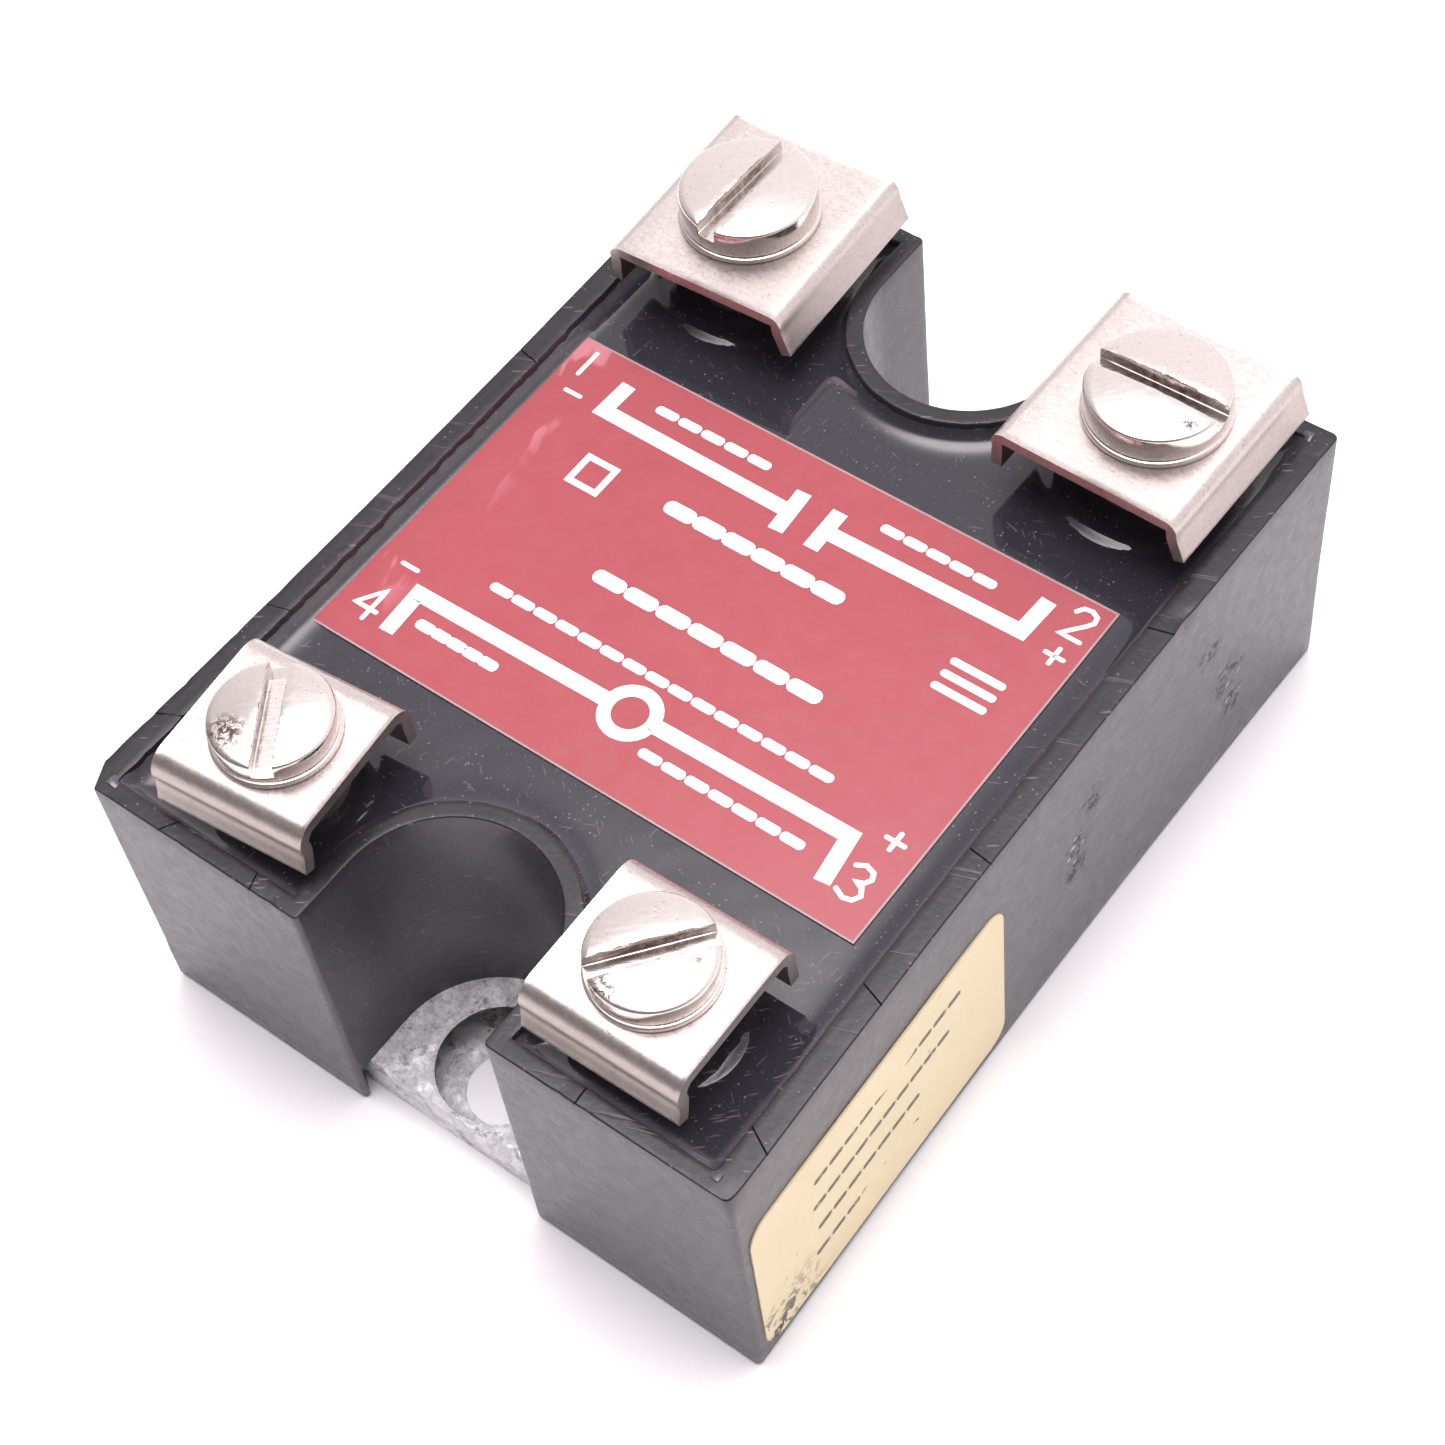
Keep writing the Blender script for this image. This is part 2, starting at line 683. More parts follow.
def build_post(n, material):
    """Turned metal post with fine tool rings and a foot in the epoxy."""
    r = size_of(n)["post"]
    bore = size_of(n)["thread"] + 0.05
    top = SEAT[n].z - SHEET
    low = box_mm(f"terminal_post_{n}")[0].z
    line = [(bore, low + 1.4), (bore, top), (r - 0.25, top), (r - 0.04, top - 0.18)]
    line += [(r - 0.03 - 0.03 * (k % 2), top - 0.35 - 0.22 * k) for k in range(1, 16)]
    foot = r + 0.87
    line += [(r - 0.03, low + 1.2), (foot, low + 1.2), (foot, low), (0, low), (0, low + 1.4)]
    bm = lathe(line + [line[0]], 72, (SEAT[n].x, SEAT[n].y, 0))
    bmesh.ops.remove_doubles(bm, verts=bm.verts, dist=0.001)
    add_piece(f"post_{n}_turned", bm, 40, material, "root", (f"terminal_post_{n}",))


# ---- Labels ----

LABEL_LOW, LABEL_HIGH = box_mm("face_label")
LABEL_MID = (LABEL_LOW + LABEL_HIGH) / 2
INK = 0.012
STROKE = 0.29
BLISTERS = (-15.5, -18.5)


def label_z(x, y):
    """Height of the label's face over the slightly uneven epoxy, never above the CAD label."""
    drift = 0.012 * wobble(x, y, 0, 0.12, 9.0)
    blister = 0.03 * max(0.0, wobble(x, y, 0, 0.5, 12.0)) * smooth_step(*BLISTERS, x - LABEL_MID.x)
    return LABEL_HIGH.z - 0.045 + drift + blister


def label_sheet(inset, lift, thick):
    """Thin sheet over the label's area less the inset, following its face."""
    low, high, step = LABEL_LOW, LABEL_HIGH, 0.6
    x0, x1, y0, y1 = low.x + inset, high.x - inset, low.y + inset, high.y - inset
    nx, ny = round((x1 - x0) / step), round((y1 - y0) / step)
    xs = [x0 + (x1 - x0) * i / nx for i in range(nx + 1)]
    ys = [y0 + (y1 - y0) * j / ny for j in range(ny + 1)]
    rings = []
    bm = bmesh.new()
    for drop in (0, thick):
        grid = [[bm.verts.new((x, y, label_z(x, y) + lift - drop)) for y in ys] for x in xs]
        for a, b in zip(grid, grid[1:]):
            for j in range(ny):
                bm.faces.new((a[j], b[j], b[j + 1], a[j + 1]))
        rings.append([grid[i][0] for i in range(nx)] + [grid[nx][j] for j in range(ny)]
                     + [grid[i][ny] for i in range(nx, 0, -1)] + [grid[0][j] for j in range(ny, 0, -1)])
    skin(bm, *rings)
    return bm


def ribbon(bm, points, width, height, ends=True):
    """Inked line of even width through (x, y) points, with round ends."""

    def corner(p):
        return bm.verts.new((p.x, p.y, height(p.x, p.y)))

    points = [Vector(p) for p in points]
    dense = [points[0]]
    for a, b in zip(points, points[1:]):
        count = max(1, math.ceil((b - a).length / 0.5))
        dense += [a.lerp(b, k / count) for k in range(1, count + 1)]
    closed = (points[0] - points[-1]).length < 1e-6
    sides = []
    for i, p in enumerate(dense):
        before = dense[i - 1] if i else (dense[-2] if closed else p)
        after = dense[i + 1] if i + 1 < len(dense) else (dense[1] if closed else p)
        way_a = (p - before).normalized() if (p - before).length else (after - p).normalized()
        way_b = (after - p).normalized() if (after - p).length else way_a
        way = (way_a + way_b).normalized()
        stretch = 1 / max(0.6, way.dot(way_a))
        across = Vector((-way.y, way.x)) * width / 2 * stretch
        sides.append((p + across, p - across, way))
    left = [corner(a) for a, _b, _way in sides]
    right = [corner(b) for _a, b, _way in sides]
    for i in range(len(dense) - 1):
        bm.faces.new((right[i], right[i + 1], left[i + 1], left[i]))
    if not ends or closed:
        return
    start = (dense[0], -sides[0][2], left[0], right[0])
    finish = (dense[-1], sides[-1][2], right[-1], left[-1])
    for p, way, a, b in (start, finish):
        fan = []
        for k in range(1, 5):
            t = math.radians(90 - 36 * k)
            side = Vector((-way.y, way.x))
            q = p + side * (-math.sin(t)) * width / 2 + way * math.cos(t) * width / 2 * 0.8
            fan.append(corner(q))
        bm.faces.new([a, *fan, b])


def ring_points(cx, cy, r):
    """Closed circle."""
    return [(cx + r * math.cos(a), cy + r * math.sin(a)) for a in round_turns(28) + [0]]


DIGIT_LINES = {
    "1": [[(0, -1), (0, 1)]],
    "2": [[(-0.6, 0.55), (-0.35, 0.92), (0.1, 1), (0.5, 0.8), (0.58, 0.4), (0.3, 0), (-0.6, -1), (0.62, -1)]],
    "3": [[(-0.55, 0.75), (-0.1, 1), (0.4, 0.85), (0.55, 0.5), (0.35, 0.15), (-0.05, 0.05), (0.4, -0.1),
           (0.62, -0.5), (0.4, -0.88), (-0.05, -1), (-0.6, -0.75)]],
    "4": [[(0.3, -1), (0.3, 1), (-0.65, -0.35), (0.7, -0.35)]],
    "+": [[(-0.6, 0), (0.6, 0)], [(0, -0.6), (0, 0.6)]],
    "-": [[(-0.6, 0), (0.6, 0)]],
}


def draw_sign(bm, sign, x, y, tall, width, height):
    """A digit, plus or minus, centred at (x, y)."""
    for line in DIGIT_LINES[sign]:
        ribbon(bm, [(x + a * tall / 2, y + b * tall / 2) for a, b in line], width, height)


def draw_word(bm, x0, x1, y, count, width, height, start=0.12, end=0.78):
    """Plain dashes where the real label has words, each from a start to an end share of its pitch."""
    pitch = (x1 - x0) / count
    for k in range(count):
        ribbon(bm, [(x0 + pitch * (k + start), y), (x0 + pitch * (k + end), y)], width, height)


SYMBOL_LINES = (
    (1.0, (-14.3, 11.0), (-14.4, 8.65), (-0.6, 8.5)),
    (1.0, (-0.7, 10.1), (-0.5, 6.95)),
    (1.0, (1.9, 10.05), (1.95, 7.0)),
    (1.0, (1.9, 8.45), (15.15, 8.7), (15.3, 11.3)),
    (1.0, (-14.7, -11.0), (-14.85, -7.9), (-1.0, -7.7)),
    (0.8, *ring_points(0.4, -7.7, 1.5)),
    (1.0, (1.8, -7.65), (15.1, -7.45), (15.5, -10.6)),
)
SIGNS = (("1", -17.5, 11.0, 1.9), ("-", -16.8, 8.7, 1.9), ("2", 17.6, 10.9, 2.2), ("+", 17.6, 8.3, 2.0),
         ("4", -16.8, -9.9, 2.3), ("-", -16.5, -6.7, 1.9), ("3", 17.0, -9.6, 2.3), ("+", 17.3, -6.4, 2.0))
WORDS = ((-11.8, -3.3, 10.5, 5, 0.62), (4.5, 12.4, 10.5, 5, 0.62), (-6.8, 5.8, 5.0, 6, 1.0),
         (-7.2, 8.8, -1.2, 7, 0.95), (-11.7, 12.4, -5.1, 15, 0.62), (-13.5, -7.7, -9.5, 5, 0.7),
         (2.4, 13.6, -9.4, 7, 0.62))
SQUARE = ((-12.9, 3.4), (-10.9, 3.4), (-10.9, 5.4), (-12.9, 5.4), (-12.9, 3.4))


def label_ink():
    """White print: contact symbol, circle symbol, terminal numbers and signs, and dashes for words."""
    bm = bmesh.new()

    def height(x, y):
        return label_z(x, y) + 2 * INK

    def at(points):
        return [(LABEL_MID.x + x, LABEL_MID.y + y) for x, y in points]

    for width, *points in SYMBOL_LINES:
        ribbon(bm, at(points), width, height, False)
    x, y = LABEL_MID.x, LABEL_MID.y
    for sign, dx, dy, tall in SIGNS:
        draw_sign(bm, sign, x + dx, y + dy, tall, STROKE, height)
    for x0, x1, dy, count, width in WORDS:
        draw_word(bm, x + x0, x + x1, y + dy, count, width, height)
    ribbon(bm, at(SQUARE), 0.42, height, False)
    for k in range(3):
        ribbon(bm, at(((13.2, 3.1 + 0.95 * k), (16.4, 3.1 + 0.95 * k))), 0.5, height)
    return bm


def build_face_label(film, red, white):
    """Clear film, with the red print and the white ink on it."""
    add_piece("face_label_film", label_sheet(0, 0, 0.07), 30, film, "root", ("face_label",))
    add_piece("face_label_print", label_sheet(0.14, INK, 0.01), 30, red, "root", ())
    add_piece("face_label_ink", label_ink(), 60, white, "root", ())


SIDE_LINES = ((3.9, -6.3, 7.6, 10), (1.3, -6.6, 6.4, 10), (-1.3, -6.4, 3.4, 7), (-3.9, -6.8, 3.2, 7))


def build_side_label(yellow, grey):
    """Paper label that follows the wall. SIDE_LINES gives each row's (z, from y, to y, dashes)."""
    low, high = box_mm("side_label")
    mid = (low + high) / 2
    outline = rounded_outline((high.y - low.y) / 2, (high.z - low.z) / 2, 1.5, 8)

    def on_wall(y, z, lift):
        wall = bowed(HALF_W, mid.y + y).x - 0.04 + 0.02 * wobble(HALF_W, mid.y + y, z, 0.16, 3.1)
        return Vector((min(high.x, wall + lift), mid.y + y, mid.z + z))

    bm = bmesh.new()
    rings = [[(y * k / 10, z * k / 10) for y, z in outline] for k in range(10, 0, -1)]
    top = [[bm.verts.new(on_wall(y, z, 0.1)) for y, z in ring] for ring in rings]
    under = [bm.verts.new(on_wall(y, z, -0.03)) for y, z in outline]
    for a, b in zip(top, top[1:]):
        skin(bm, a, b)
    bm.faces.new(top[-1])
    skin(bm, under, top[0])
    bm.faces.new(under)
    bmesh.ops.triangulate(bm, faces=[f for f in bm.faces if len(f.verts) > 4])
    add_piece("side_label_paper", bm, 40, yellow, "root", ("side_label",))
    lines = bmesh.new()
    for z, y0, y1, words in SIDE_LINES:
        draw_word(lines, y0, y1, z, words, 0.42, lambda y, z: 0.0, 0.15, 0.8)
    for v in lines.verts:
        v.co = on_wall(v.co.x, v.co.y, 0.1 + INK)
    add_piece("side_label_ink", lines, 60, grey, "root", ())


# ---- Materials ----


def new_node(tree, kind, inputs=(), **settings):
    """Adds a node. Inputs go by name or number, each a number, a vector, a colour or an output."""
    node = tree.nodes.new(kind)
    for key, value in settings.items():
        setattr(node, key, value)
    for key, value in dict(inputs).items():
        feed(tree, node.inputs[key], value)
    return node


def feed(tree, socket, value):
    """Links an output to the socket, or sets the socket itself."""
    if isinstance(value, bpy.types.NodeSocket):
        tree.links.new(value, socket)
    elif socket.type == "RGBA":
        socket.default_value = (*value, 1.0)
    else:
        socket.default_value = value


class Nodes:
    """Short way to write a material's nodes."""

    def __init__(self, name):
        self.material = bpy.data.materials.new(name)
        self.material.use_nodes = True
        self.tree = self.material.node_tree
        self.shader = self.tree.nodes["Principled BSDF"]
        self.place = self.add("ShaderNodeTexCoord").outputs["Object"]

    def add(self, kind, inputs=(), **settings):
        return new_node(self.tree, kind, inputs, **settings)

    def scaled(self, x, y, z, turn=0.0):
        """The place stretched by 1/x, 1/y and 1/z and turned by so many degrees."""
        inputs = {"Vector": self.place, "Scale": (1 / x, 1 / y, 1 / z),
                  "Rotation": (0, 0, math.radians(turn))}
        return self.add("ShaderNodeMapping", inputs, vector_type="TEXTURE").outputs["Vector"]

    def noise(self, scale, detail=4.0, rough=0.55, vector=None, warp=0.0):
        inputs = {"Vector": vector or self.place, "Scale": scale, "Detail": detail, "Roughness": rough,
                  "Distortion": warp}
        return self.add("ShaderNodeTexNoise", inputs).outputs["Fac"]

    def remap(self, value, low, high, to_low=0.0, to_high=1.0):
        inputs = {"Value": value, "From Min": low, "From Max": high, "To Min": to_low, "To Max": to_high}
        return self.add("ShaderNodeMapRange", inputs, interpolation_type="SMOOTHSTEP").outputs["Result"]

    def grain(self, scale, detail, rough, low, high):
        """Noise spread over the range from low to high."""
        return self.remap(self.noise(scale, detail, rough), 0.3, 0.7, low, high)

    def math(self, operation, a, b=0):
        return self.add("ShaderNodeMath", {0: a, 1: b}, operation=operation).outputs[0]

    def times(self, a, b):
        return self.math("MULTIPLY", a, b)

    def mix(self, factor, a, b):
        """Colour a where factor is 0 and b where it is 1."""
        return self.add("ShaderNodeMix", {0: factor, 6: a, 7: b}, data_type="RGBA").outputs[2]

    def over(self, colour, mask, share, tint):
        """The colour with a share of the tint laid over it inside the mask."""
        return self.mix(self.times(mask, share), colour, tint)

    def axis(self, name):
        return self.add("ShaderNodeSeparateXYZ", {0: self.place}).outputs[name]

    def set(self, **values):
        for key, value in values.items():
            feed(self.tree, self.shader.inputs[key.replace("_", " ")], value)

    def finish(self, relief, strength, distance):
        """Adds the relief, and gives the material."""
        node = self.add("ShaderNodeBump", {"Strength": strength, "Distance": distance, "Height": relief})
        self.set(Normal=node.outputs["Normal"])
        return self.material

    def near(self, centre, radius):
        """1 at a point given in millimetres, falling to 0 at the radius."""
        gap = self.add("ShaderNodeVectorMath", {0: self.place, 1: Vector(centre) * MM}, operation="DISTANCE")
        return self.remap(gap.outputs["Value"], radius * 0.35 * MM, radius * MM, 1.0, 0.0)

    def most(self, *values):
        total = values[0]
        for value in values[1:]:
            total = self.math("MAXIMUM", total, value)
        return total

    def specks(self, scale, size, keep, vector=None):
        """1 inside small scattered spots, 0 elsewhere."""
        cells = self.add("ShaderNodeTexVoronoi", {"Vector": vector or self.place, "Scale": scale})
        spot = self.remap(cells.outputs["Distance"], size * 0.6, size, 1.0, 0.0)
        chosen = self.remap(self.noise(scale * 0.37, 1.0, 0.5, vector), keep, keep + 0.02)
        return self.times(spot, chosen)


PITTED = ((16.1, 14.0, 1.5), (18.5, 9.1, 2.2), (19.2, 5.7, 1.7), (4.2, 14.0, 1.6), (2.7, 11.2, 1.8),
          (2.6, 8.8, 1.5))


def housing_plastic(name, ior, shade):
    """Moulded black plastic with dust, scratches and, at the PITTED (y, z, radius), pits and pale chips."""
    m = Nodes(name)
    dust = m.most(m.specks(1900, 0.15, 0.52), m.specks(2300, 0.2, 0.55, m.scaled(0.2, 1.3, 1.0, 35)))
    scratch = m.remap(m.noise(900, 3, 0.6, m.scaled(0.08, 1.6, 0.7, 20)), 0.63, 0.68)
    hits = [m.near((HALF_W - BOW, y, z), r) for y, z, r in PITTED]
    pits = m.times(m.most(*hits), m.remap(m.noise(1500, 5, 0.75, warp=0.5), 0.5, 0.56))
    chips = m.times(m.most(*hits), m.specks(1150, 0.3, 0.52))
    low, high = (tuple(shade * c for c in rgb) for rgb in ((0.03, 0.027, 0.033), (0.042, 0.038, 0.045)))
    colour = m.mix(m.noise(60, 3, 0.5), low, high)
    colour = m.over(colour, dust, 0.5, (0.2, 0.18, 0.18))
    colour = m.over(colour, scratch, 0.18, (0.14, 0.13, 0.14))
    colour = m.mix(pits, colour, (0.006, 0.006, 0.007))
    colour = m.over(colour, chips, 0.7, (0.42, 0.4, 0.42))
    rough = m.math("ADD", m.grain(1300, 4, 0.65, 0.27, 0.37), m.times(pits, 0.3))
    m.set(Base_Color=colour, Roughness=rough, IOR=ior)
    cuts = m.most(m.times(pits, 5.0), scratch)
    grain = m.math("SUBTRACT", m.noise(2600, 4, 0.6), cuts)
    return m.finish(grain, 0.16, 0.0001)


def epoxy():
    """Glossy fill with dust and fibres, duller along the walls and where it was rubbed."""
    m = Nodes("epoxy")
    dust = m.specks(2300, 0.17, 0.5)
    fine = m.specks(3900, 0.24, 0.52)
    fibres = [m.specks(size, 0.17, 0.56, m.scaled(0.16, 1.5, 1.0, turn))
              for size, turn in ((1900, 25), (2300, -40), (2100, 82), (1700, -15))]
    fibre = m.most(*fibres)
    rubbed = m.times(m.near((FILL_HALF_W - 3, 5 - FILL_HALF_L, FILL_Z), 9),
                    m.specks(2500, 0.26, 0.45, m.scaled(0.2, 1.5, 1.0, 45)))
    beside = [m.remap(m.math("ABSOLUTE", m.axis(axis)), (edge - 1.0) * MM, (edge - 0.4) * MM)
              for axis, edge in (("X", FILL_HALF_W), ("Y", FILL_HALF_L))]
    edges = m.times(m.most(*beside), m.remap(m.noise(500, 4, 0.6), 0.25, 0.6, 0.6, 1.0))
    cloud = m.noise(60, 4, 0.6)
    colour = m.mix(cloud, (0.023, 0.022, 0.03), (0.034, 0.032, 0.04))
    colour = m.over(colour, edges, 0.8, (0.095, 0.09, 0.098))
    faint = [m.times(mask, share) for mask, share in ((fine, 0.45), (fibre, 0.45), (rubbed, 0.65))]
    marks = m.most(dust, *faint)
    colour = m.over(colour, marks, 0.42, (0.24, 0.22, 0.22))
    haze = m.remap(m.noise(170, 5, 0.65), 0.4, 0.75, 0.03, 0.12)
    rough = m.math("ADD", haze, m.most(m.times(marks, 0.35), m.times(edges, 0.12)))
    m.set(Base_Color=colour, Roughness=rough, IOR=1.53)
    return m.finish(m.noise(240, 3, 0.5), 0.05, 0.0001)


def base_aluminium():
    """Scuffed cast plate, with turning marks round each mounting hole."""
    m = Nodes("base_aluminium")
    from_hole = m.math("SUBTRACT", m.math("ABSOLUTE", m.axis("Y")), HOLE_Y * MM)
    shifted = m.add("ShaderNodeCombineXYZ", {"X": m.axis("X"), "Y": from_hole})
    ring = m.add("ShaderNodeTexWave", {"Vector": shifted.outputs[0], "Scale": 800, "Distortion": 4},
                 wave_type="RINGS", rings_direction="SPHERICAL")
    mottle = m.remap(m.noise(1100, 6, 0.8), 0.36, 0.62)
    dirt = m.remap(m.noise(700, 6, 0.75, warp=0.4), 0.56, 0.64)
    hub = m.most(*[m.near((0, y, PLATE_TOP), 5.2) for y in (-HOLE_Y, HOLE_Y)])
    turned = m.times(m.remap(ring.outputs["Fac"], 0.5, 0.1), m.remap(hub, 0.15, 0.5))
    colour = m.mix(mottle, (0.6, 0.59, 0.6), (1.0, 0.99, 1.0))
    colour = m.over(colour, hub, 0.6, (1.0, 1.0, 1.0))
    colour = m.over(colour, turned, 0.3, (0.22, 0.22, 0.23))
    colour = m.over(colour, dirt, 0.6, (0.12, 0.115, 0.12))
    m.set(Base_Color=colour, Metallic=0.2, Roughness=m.remap(mottle, 0.3, 0.7, 0.28, 0.5), IOR=1.9)
    return m.finish(m.math("SUBTRACT", mottle, m.times(turned, 0.8)), 0.5, 0.00025)


def nickel(name, tints, roughness, sand_relief, streak, grain_turn=0.0, smudges=(), slots=()):
    """Plated steel: satin grain, brown stains, small pits and duller flanks.

    Smudges, (centre, radius), are dark chewed spots. Slots, (centre, radius, head's top), hold brown grime.
    """
    m = Nodes(name)
    cloud = m.noise(420, 5, 0.65)
    grain = m.noise(2400, 3, 0.6, m.scaled(1 - streak, 1 + 1.3 * streak, 1.0, grain_turn))
    sand = m.noise(5200, 3, 0.7)
    stain = m.remap(m.noise(620, 6, 0.78, warp=0.6), 0.6, 0.72)
    pits = m.specks(2600, 0.22, 0.56)
    colour = m.mix(m.remap(sand, 0.25, 0.75), *tints)
    colour = m.over(colour, m.remap(cloud, 0.4, 0.75), 0.25, tints[0])
    colour = m.over(colour, stain, 0.35, (0.4, 0.31, 0.28))
    marks = m.times(pits, 0.35)
    for centre, radius in smudges:
        torn = m.remap(m.noise(2600, 5, 0.75, warp=0.5), 0.42, 0.56)
        marks = m.most(marks, m.times(m.near(centre, radius), torn))
    colour = m.mix(marks, colour, (0.09, 0.07, 0.065))
    flank = m.remap(m.axis("Z"), (SEAT[1].z - 0.12) * MM, (SEAT[1].z - 0.9) * MM)
    colour = m.over(colour, flank, 0.42, (0.36, 0.29, 0.27))
    worn_rough = m.most(m.times(m.most(stain, marks), 0.14), m.times(flank, 0.13))
    rough = m.math("ADD", m.remap(grain, 0.3, 0.7, *roughness), worn_rough)
    for centre, radius, top in slots:
        below_top = m.remap(m.axis("Z"), (top - 0.22) * MM, (top - 0.5) * MM)
        inside = m.times(m.near(centre, radius * 1.12), below_top)
        floor_z = top - SLOT_DEPTH
        off_floor = m.remap(m.axis("Z"), (floor_z + 0.02) * MM, (floor_z + 0.16) * MM)
        grime = m.remap(m.noise(1800, 5, 0.7), 0.3, 0.6, 0.35, 1.0)
        colour = m.mix(m.times(m.times(inside, off_floor), grime), colour, (0.19, 0.14, 0.125))
    m.set(Base_Color=colour, Metallic=1.0, Roughness=rough)
    relief = m.math("ADD", m.times(grain, 0.5), m.times(sand, sand_relief))
    return m.finish(m.math("SUBTRACT", relief, m.times(marks, 1.5)), 0.1, 0.00008)


def label_red():
    """Red print, with pale streaks where the film has lifted along the left edge."""
    m = Nodes("label_red")
    cloud = m.noise(130, 4, 0.6)
    near_edge = m.remap(m.axis("X"), *[x * MM for x in BLISTERS])
    streak = m.remap(m.noise(330, 3, 0.55, m.scaled(1.0, 0.35, 1.0, 12)), 0.53, 0.58)
    bubbles = m.times(near_edge, streak)
    colour = m.mix(cloud, (0.335, 0.057, 0.07), (0.37, 0.066, 0.08))
    colour = m.over(colour, bubbles, 0.6, (0.6, 0.24, 0.27))
    m.set(Base_Color=colour, Roughness=m.grain(800, 4, 0.6, 0.12, 0.22), IOR=1.5)
    return m.finish(m.noise(500, 3, 0.5), 0.05, 0.0001)


def plain_print(name, low, high, rough, worn_colour, worn_from):
    """Ink or film with a little wear."""
    m = Nodes(name)
    wear = m.remap(m.noise(1500, 4, 0.7), worn_from, worn_from + 0.06)
    colour = m.mix(m.noise(400, 4, 0.6), low, high)
    colour = m.mix(wear, colour, worn_colour)
    m.set(Base_Color=colour, Roughness=m.grain(900, 3, 0.6, rough, rough + 0.12))
    return m.finish(m.noise(1200, 3, 0.6), 0.05, 0.00005)


def label_yellow():
    """Yellowed paper, spotted, and scuffed dark at its lower front corner."""
    m = Nodes("label_yellow")
    cloud = m.noise(150, 5, 0.6)
    low = m.remap(m.axis("Z"), 0.0065, 0.0015)
    front = m.remap(m.axis("Y"), -0.0215, -0.026)
    corner = m.times(low, front)
    scuff = m.times(corner, m.remap(m.noise(900, 5, 0.7, warp=0.8), 0.5, 0.56))
    spots = m.specks(900, 0.16, 0.6)
    colour = m.mix(cloud, (0.7, 0.59, 0.385), (0.8, 0.67, 0.44))
    colour = m.over(colour, spots, 0.5, (0.25, 0.2, 0.13))
    colour = m.mix(scuff, colour, (0.035, 0.033, 0.036))
    m.set(Base_Color=colour, Roughness=m.grain(600, 4, 0.6, 0.42, 0.6))
    return m.finish(m.noise(900, 4, 0.6), 0.08, 0.0001)


def inner_material(name, low, high, metallic, rough, scale=500):
    """Finish of a piece sealed in the epoxy."""
    m = Nodes(name)
    grain = m.noise(scale, 5, 0.65)
    colour = m.mix(grain, low, high)
    m.set(Base_Color=colour, Metallic=metallic, Roughness=m.remap(grain, 0.3, 0.7, rough, rough + 0.18))
    return m.finish(m.noise(scale * 3, 4, 0.6), 0.1, 0.00008)


def floor_white():
    """Pale backdrop."""
    m = Nodes("floor_white")
    cloud = m.noise(12, 3, 0.5)
    m.set(Base_Color=m.mix(cloud, (0.86, 0.85, 0.855), (0.88, 0.87, 0.875)), Roughness=0.9)
    return m.material


INNER_LOOKS = {
    "alumina": ((0.8, 0.78, 0.74), (0.9, 0.88, 0.84), 0.0, 0.4),
    "copper": ((0.62, 0.3, 0.18), (0.8, 0.45, 0.3), 1.0, 0.25),
    "tinned_copper": ((0.62, 0.6, 0.57), (0.8, 0.78, 0.75), 1.0, 0.3),
    "component_black": ((0.02, 0.02, 0.021), (0.045, 0.045, 0.047), 0.0, 0.35),
    "board_laminate": ((0.16, 0.22, 0.06), (0.26, 0.32, 0.11), 0.0, 0.35),
    "resistor_body": ((0.5, 0.38, 0.22), (0.64, 0.5, 0.32), 0.0, 0.3),
}


def dress_inner_nodes():
    """Gives each sealed CAD node its procedural finish."""
    made = {slot: inner_material(slot, *look) for slot, look in INNER_LOOKS.items()}
    for part in frame["record"]["subparts"]:
        slot = part["material_slot"]
        if slot in made:
            obj = frame["nodes"][part["node"]]
            obj.data.materials.clear()
            obj.data.materials.append(made[slot])


# ---- Camera, light and floor ----

VIEW = {"azimuth": 44.044, "elevation": 55.155, "roll": -8.544, "distance": 181.941, "focal": 72.155}
TARGET = Vector((-5.158, 3.878, 0.0))
SKY_TINT = (1.0, 0.955, 0.985)
LAMP_WAY = Vector((-0.073, 0.075, 0.994)).normalized()
LAMP_SPREAD = 22.5
LAMP_POWER = 9.0
BACK_WAY = Vector((0.1, 0.99, 0.0)).normalized()
WALL_FRONT = 0.26
WALL_BACK = 1.22


def add_camera():
    """Camera at the photograph's viewing angle."""
    az, el, roll = (math.radians(VIEW[k]) for k in ("azimuth", "elevation", "roll"))
    back = Vector((math.sin(az) * math.cos(el), -math.cos(az) * math.cos(el), math.sin(el)))
    right = (-back).cross(UP).normalized()
    upward = right.cross(-back)
    r2 = right * math.cos(roll) + upward * math.sin(roll)
    u2 = upward * math.cos(roll) - right * math.sin(roll)
    data = bpy.data.cameras.new("camera")
    data.lens = VIEW["focal"]
    data.sensor_width = 36
    data.clip_start = 0.005
    data.clip_end = 20
    camera = put("camera", data)
    spot = (TARGET + back * VIEW["distance"]) * MM
    camera.matrix_world = Matrix((*zip(r2, u2, back, spot), (0, 0, 0, 1)))
    bpy.context.scene.camera = camera


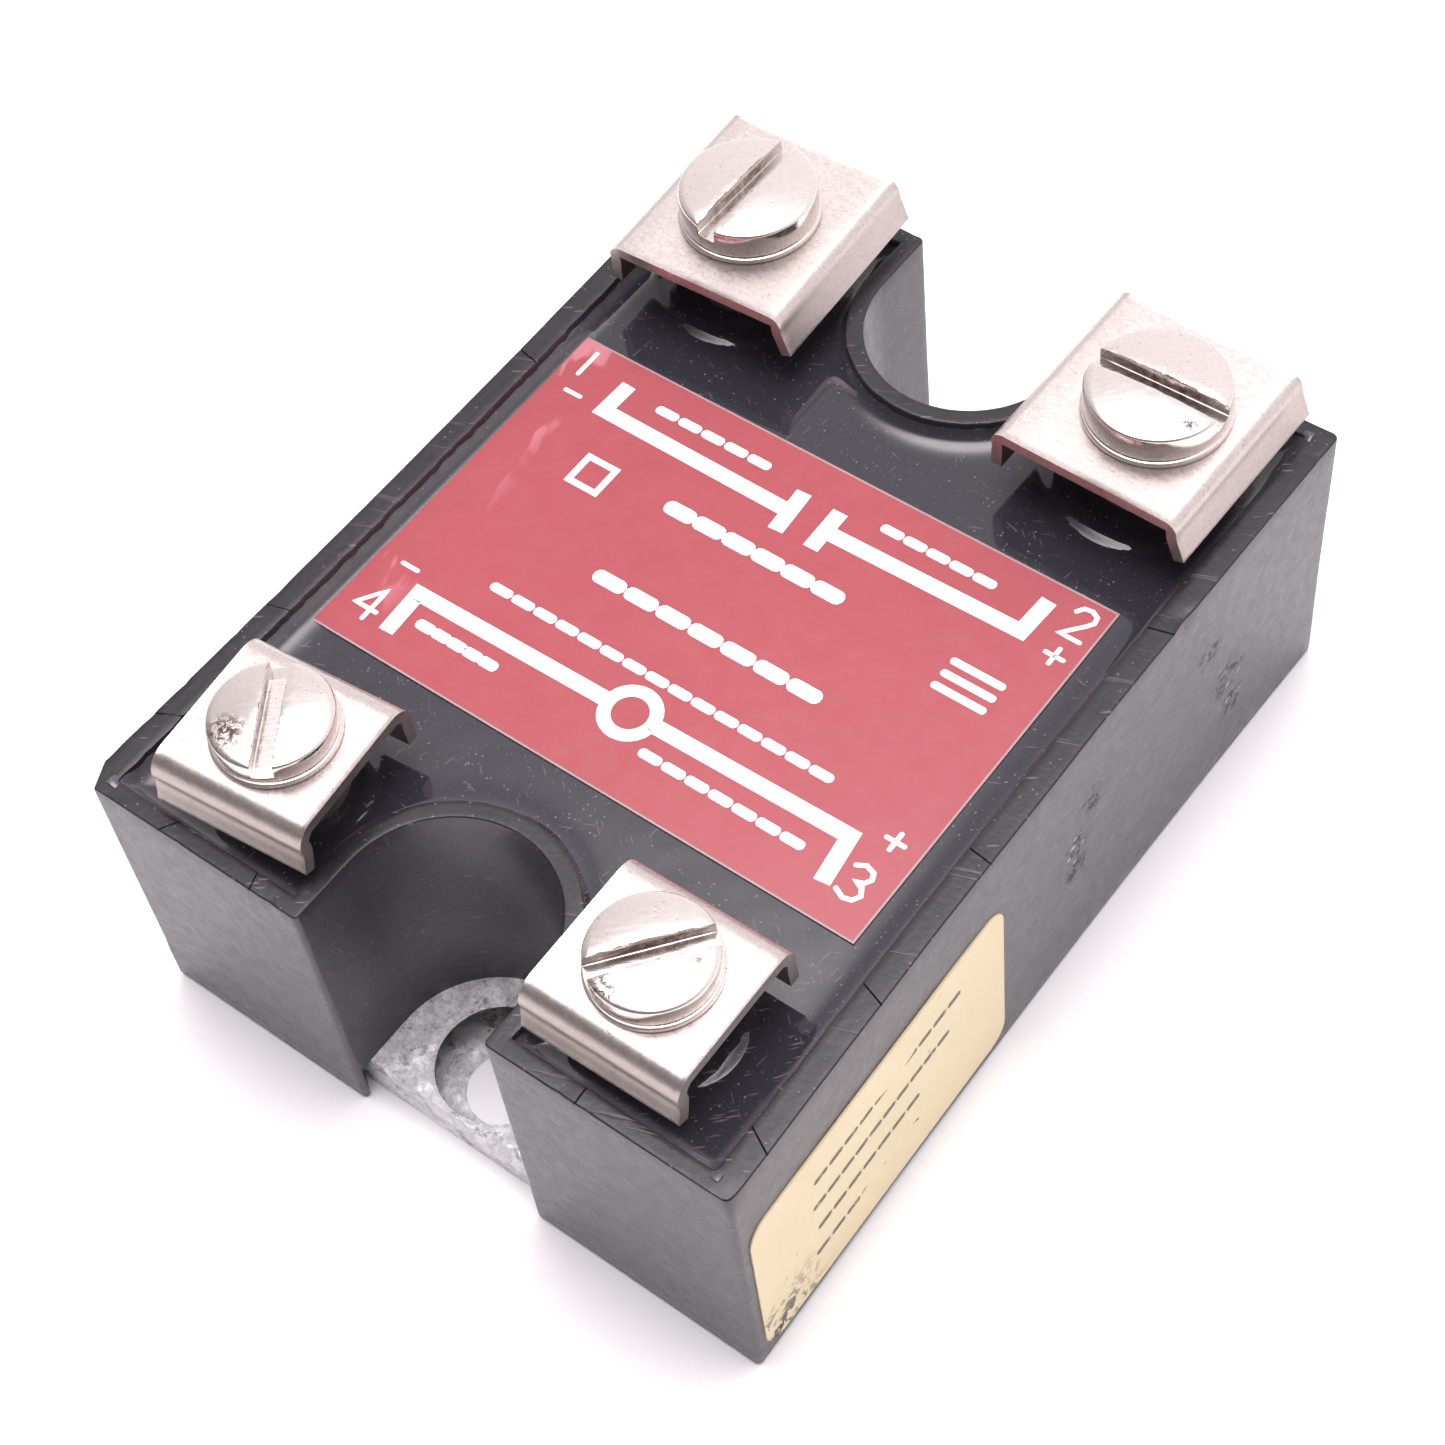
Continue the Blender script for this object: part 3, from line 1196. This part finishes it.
def add_sky():
    """White surroundings, dimmer towards the front, under a bright round softbox high at the back left."""
    world = bpy.data.worlds.new("studio")
    bpy.context.scene.world = world
    world.use_nodes = True
    tree = world.node_tree
    place = new_node(tree, "ShaderNodeTexCoord").outputs["Generated"]

    def math_node(operation, a, b=0.0):
        return new_node(tree, "ShaderNodeMath", {0: a, 1: b}, operation=operation).outputs[0]

    def along(way):
        node = new_node(tree, "ShaderNodeVectorMath", {0: place, 1: way}, operation="DOT_PRODUCT")
        return node.outputs["Value"]

    share = math_node("DIVIDE", math_node("ARCCOSINE", along(LAMP_WAY)), math.radians(LAMP_SPREAD))
    fall = math_node("MULTIPLY", math_node("POWER", share, 4.0), -1.0)
    lamp = math_node("MULTIPLY", math_node("POWER", math.e, fall), LAMP_POWER)
    spread = {0: along(BACK_WAY), 1: -0.7, 2: 0.8, 3: WALL_FRONT, 4: WALL_BACK}
    walls = new_node(tree, "ShaderNodeMapRange", spread, interpolation_type="SMOOTHSTEP").outputs["Result"]
    background = tree.nodes["Background"]
    feed(tree, background.inputs["Strength"], math_node("ADD", lamp, walls))
    feed(tree, background.inputs["Color"], SKY_TINT)


def add_floor():
    """Plain floor, just under the base plate."""
    bm = bmesh.new()
    bmesh.ops.create_grid(bm, x_segments=8, y_segments=8, size=900)
    bm.transform(Matrix.Translation((0, 0, -0.02)))
    floor = put("floor", to_mesh(bm, "floor", 38))
    floor.data.materials.append(floor_white())


# ---- Assembly ----

HEAD_SMUDGES = ((3, (-0.64, -3.0, 1.5), 1.3), (4, (-1.2, -2.2, 1.5), 1.5), (3, (2.3, 0.9, 1.5), 0.7),
                (2, (3.0, -1.6, 2.0), 0.9))


def build_terminals():
    """The four posts with their clamps, washers and screws."""
    plate = nickel("nickel_sheet", ((0.55, 0.485, 0.46), (0.7, 0.635, 0.61)), (0.27, 0.33), 0.3, 0.25)
    smudges = [(SEAT[n] + Vector(offset), radius) for n, offset, radius in HEAD_SMUDGES]
    slots = []
    for n in TERMINALS:
        top = box_mm(f"screw_{n}")[1].z
        slots.append(((SEAT[n].x, SEAT[n].y, top - 0.8), size_of(n)["head"], top))
    steel = nickel("nickel_screw", ((0.74, 0.67, 0.64), (0.81, 0.745, 0.715)), (0.11, 0.18), 0.05, 0.65, 40,
                   smudges, slots)
    brass = nickel("post_metal", ((0.36, 0.34, 0.33), (0.5, 0.47, 0.45)), (0.22, 0.34), 0.2, 0.65)
    for n in TERMINALS:
        build_post(n, brass)
        build_clamp(n, plate)
        build_washer(n, steel)
        build_screw(n, steel)


def build():
    """Every visible piece, and the finish of the sealed ones."""
    build_housing(housing_plastic("housing_plastic", 1.62, 1.0), housing_plastic("housing_rim", 1.42, 0.45))
    build_fill(epoxy())
    build_base_plate(base_aluminium())
    build_terminals()
    film = plain_print("label_film", (0.3, 0.19, 0.19), (0.4, 0.28, 0.28), 0.15, (0.2, 0.1, 0.1), 0.7)
    white = plain_print("label_ink", (0.82, 0.8, 0.79), (0.88, 0.87, 0.86), 0.14, (0.6, 0.4, 0.4), 0.74)
    build_face_label(film, label_red(), white)
    grey = plain_print("side_ink", (0.1, 0.09, 0.07), (0.17, 0.15, 0.12), 0.5, (0.4, 0.33, 0.2), 0.56)
    build_side_label(label_yellow(), grey)
    dress_inner_nodes()


build()
add_camera()
add_sky()
add_floor()
bpy.context.scene.view_settings.view_transform = "Standard"
